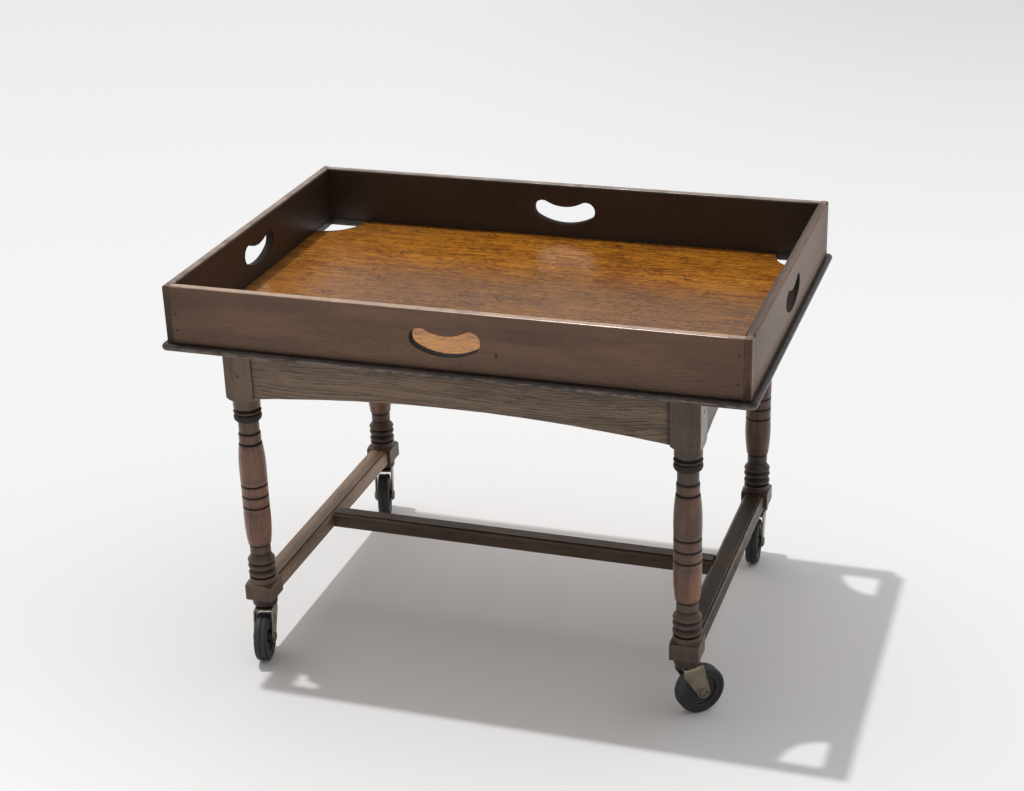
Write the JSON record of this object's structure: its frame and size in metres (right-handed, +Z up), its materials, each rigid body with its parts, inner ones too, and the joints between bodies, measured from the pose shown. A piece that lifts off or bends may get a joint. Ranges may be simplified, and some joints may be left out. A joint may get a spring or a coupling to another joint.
{
  "type": "butlers tray table",
  "caption": "Deep oak butlers tray with hand holes, lifting off a stand with turned legs, arched aprons, moulded stretchers and swivel castors.",
  "frame": {"origin": "on the floor under the middle of the tray", "axes": "+Z up, +X along the tray's length to the right, -Y towards the front"},
  "size_m": [0.878, 0.6125, 0.619],
  "materials": {
    "turned_oak": "dark stained and waxed",
    "stand_oak": "dark stained and waxed",
    "peg_oak": "dark stained",
    "tray_floor_oak": "worn and waxed",
    "tray_wall_oak": "dark stained and waxed",
    "screw_steel": "dulled",
    "castor_steel": "plated",
    "castor_cup_steel": "dark",
    "castor_fork_steel": "plated",
    "castor_wheel_plastic": "matte",
    "castor_tyre": "matte"
  },
  "bodies": {
    "stand": {"leg_front_left": "turned_oak", "leg_front_right": "turned_oak", "leg_back_left": "turned_oak", "leg_back_right": "turned_oak", "front_apron": "stand_oak", "back_apron": "stand_oak", "left_apron": "stand_oak", "right_apron": "stand_oak", "left_stretcher": "stand_oak", "right_stretcher": "stand_oak", "centre_stretcher": "stand_oak", "apron_pegs": "peg_oak", "stretcher_bolts": "screw_steel", "castor_stem_front_left": "castor_steel", "castor_cup_front_left": "castor_cup_steel", "castor_stem_front_right": "castor_steel", "castor_cup_front_right": "castor_cup_steel", "castor_stem_back_left": "castor_steel", "castor_cup_back_left": "castor_cup_steel", "castor_stem_back_right": "castor_steel", "castor_cup_back_right": "castor_cup_steel"},
    "tray": {"tray_floor": "tray_floor_oak", "tray_front_wall": "tray_wall_oak", "tray_back_wall": "tray_wall_oak", "tray_left_wall": "tray_wall_oak", "tray_right_wall": "tray_wall_oak", "left_batten": "stand_oak", "right_batten": "stand_oak", "batten_screws": "screw_steel", "wall_screws": "screw_steel"},
    "castor_front_left": {"castor_fork_front_left": "castor_fork_steel", "castor_axle_front_left": "castor_steel"},
    "roller_front_left": {"castor_bush_front_left": "castor_steel", "castor_wheel_front_left": "castor_wheel_plastic", "castor_tyre_front_left": "castor_tyre"},
    "castor_front_right": {"castor_fork_front_right": "castor_fork_steel", "castor_axle_front_right": "castor_steel"},
    "roller_front_right": {"castor_bush_front_right": "castor_steel", "castor_wheel_front_right": "castor_wheel_plastic", "castor_tyre_front_right": "castor_tyre"},
    "castor_back_left": {"castor_fork_back_left": "castor_fork_steel", "castor_axle_back_left": "castor_steel"},
    "roller_back_left": {"castor_bush_back_left": "castor_steel", "castor_wheel_back_left": "castor_wheel_plastic", "castor_tyre_back_left": "castor_tyre"},
    "castor_back_right": {"castor_fork_back_right": "castor_fork_steel", "castor_axle_back_right": "castor_steel"},
    "roller_back_right": {"castor_bush_back_right": "castor_steel", "castor_wheel_back_right": "castor_wheel_plastic", "castor_tyre_back_right": "castor_tyre"}
  },
  "joints": [
    {"name": "tray_lift", "type": "slide", "parent": "stand", "child": "tray", "axis": [0, 0, 1], "range_m": [0, 0.25]},
    {"name": "swivel_front_left", "type": "hinge", "parent": "stand", "child": "castor_front_left", "pos_m": [-0.335, -0.25, 0.0835], "axis": [0, 0, 1], "continuous": true},
    {"name": "roll_front_left", "type": "hinge", "parent": "castor_front_left", "child": "roller_front_left", "pos_m": [-0.33063, -0.27054, 0.0375], "axis": [0.9781, 0.2079, 0], "continuous": true},
    {"name": "swivel_front_right", "type": "hinge", "parent": "stand", "child": "castor_front_right", "pos_m": [0.335, -0.25, 0.0835], "axis": [0, 0, 1], "continuous": true},
    {"name": "roll_front_right", "type": "hinge", "parent": "castor_front_right", "child": "roller_front_right", "pos_m": [0.35061, -0.23595, 0.0375], "axis": [-0.6691, 0.7431, 0], "continuous": true},
    {"name": "swivel_back_left", "type": "hinge", "parent": "stand", "child": "castor_back_left", "pos_m": [-0.335, 0.25, 0.0835], "axis": [0, 0, 1], "continuous": true},
    {"name": "roll_back_left", "type": "hinge", "parent": "castor_back_left", "child": "roller_back_left", "pos_m": [-0.32851, 0.23003, 0.0375], "axis": [0.9511, 0.309, 0], "continuous": true},
    {"name": "swivel_back_right", "type": "hinge", "parent": "stand", "child": "castor_back_right", "pos_m": [0.335, 0.25, 0.0835], "axis": [0, 0, 1], "continuous": true},
    {"name": "roll_back_right", "type": "hinge", "parent": "castor_back_right", "child": "roller_back_right", "pos_m": [0.33647, 0.22905, 0.0375], "axis": [0.9976, 0.0698, 0], "continuous": true}
  ]
}
